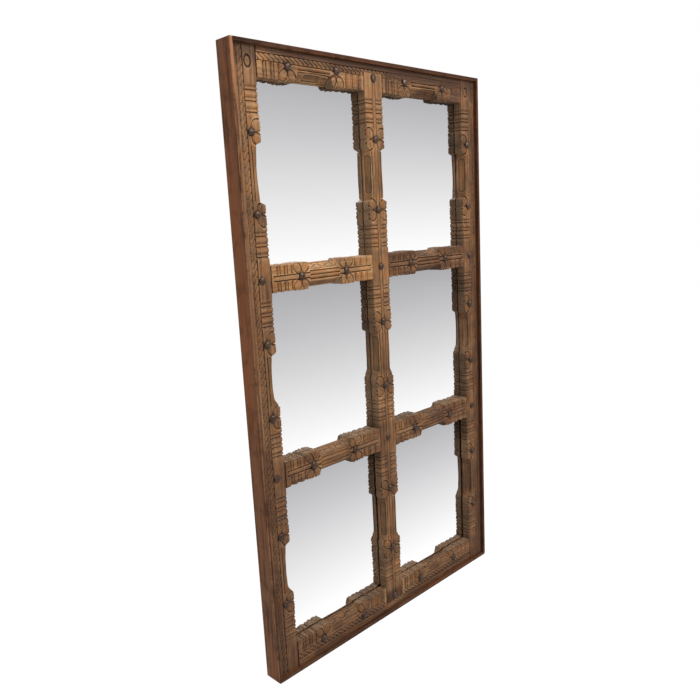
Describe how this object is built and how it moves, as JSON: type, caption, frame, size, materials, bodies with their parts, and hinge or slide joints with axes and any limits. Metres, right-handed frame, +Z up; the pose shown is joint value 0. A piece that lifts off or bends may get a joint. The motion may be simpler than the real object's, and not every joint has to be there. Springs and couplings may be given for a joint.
{
  "type": "panel wall mirror",
  "caption": "Tall wall mirror: a carved wooden window lattice with forged nails, glazed with mirror panes, in a plain box casing with ring hangers on its back.",
  "frame": {"origin": "middle of the wall plane that the casing's back edges rest on", "axes": "+X to the right as one faces the mirror, +Y from the mirror into the wall, +Z up"},
  "size_m": [1.052, 0.06, 1.8],
  "materials": {
    "casing": "dark red-brown stain, satin, worn at the arrises",
    "teak": "old carved hardwood, waxed, dark dirt in the cuts and pale worn high spots",
    "silvered_glass": "polished, clean",
    "plywood": "raw sanded sheet",
    "zinc": "bright zinc plate",
    "iron": "hand-forged, dark brown, rubbed bright on the crowns"
  },
  "bodies": {
    "mirror": {"casing_left": "casing", "casing_right": "casing", "casing_top": "casing", "casing_bottom": "casing", "stile_left": "teak", "stile_right": "teak", "mullion": "teak", "top_rail": "teak", "bottom_rail": "teak", "cross_rail_upper_left": "teak", "cross_rail_upper_right": "teak", "cross_rail_lower_left": "teak", "cross_rail_lower_right": "teak", "mirror_top_left": "silvered_glass", "mirror_top_right": "silvered_glass", "mirror_middle_left": "silvered_glass", "mirror_middle_right": "silvered_glass", "mirror_bottom_left": "silvered_glass", "mirror_bottom_right": "silvered_glass", "back_panel": "plywood", "hanger_strap_left": "zinc", "hanger_strap_right": "zinc", "nail_stile_left_1": "iron", "nail_stile_left_2": "iron", "nail_stile_left_3": "iron", "nail_stile_left_4": "iron", "nail_stile_left_5": "iron", "nail_stile_left_6": "iron", "nail_stile_left_7": "iron", "nail_stile_left_8": "iron", "nail_mullion_1": "iron", "nail_mullion_2": "iron", "nail_mullion_3": "iron", "nail_mullion_4": "iron", "nail_mullion_5": "iron", "nail_mullion_6": "iron", "nail_mullion_7": "iron", "nail_mullion_8": "iron", "nail_mullion_9": "iron", "nail_mullion_10": "iron", "nail_stile_right_1": "iron", "nail_stile_right_2": "iron", "nail_stile_right_3": "iron", "nail_stile_right_4": "iron", "nail_stile_right_5": "iron", "nail_stile_right_6": "iron", "nail_stile_right_7": "iron", "nail_stile_right_8": "iron"},
    "ring_left": {"hanger_ring_left": "zinc"},
    "ring_right": {"hanger_ring_right": "zinc"}
  },
  "joints": [
    {"name": "ring_swing_left", "type": "hinge", "parent": "mirror", "child": "ring_left", "pos_m": [-0.47725, -0.0048, 0.6], "axis": [1, 0, 0], "range_deg": [0, 180]},
    {"name": "ring_swing_right", "type": "hinge", "parent": "mirror", "child": "ring_right", "pos_m": [0.47725, -0.0048, 0.6], "axis": [1, 0, 0], "range_deg": [0, 180]}
  ]
}
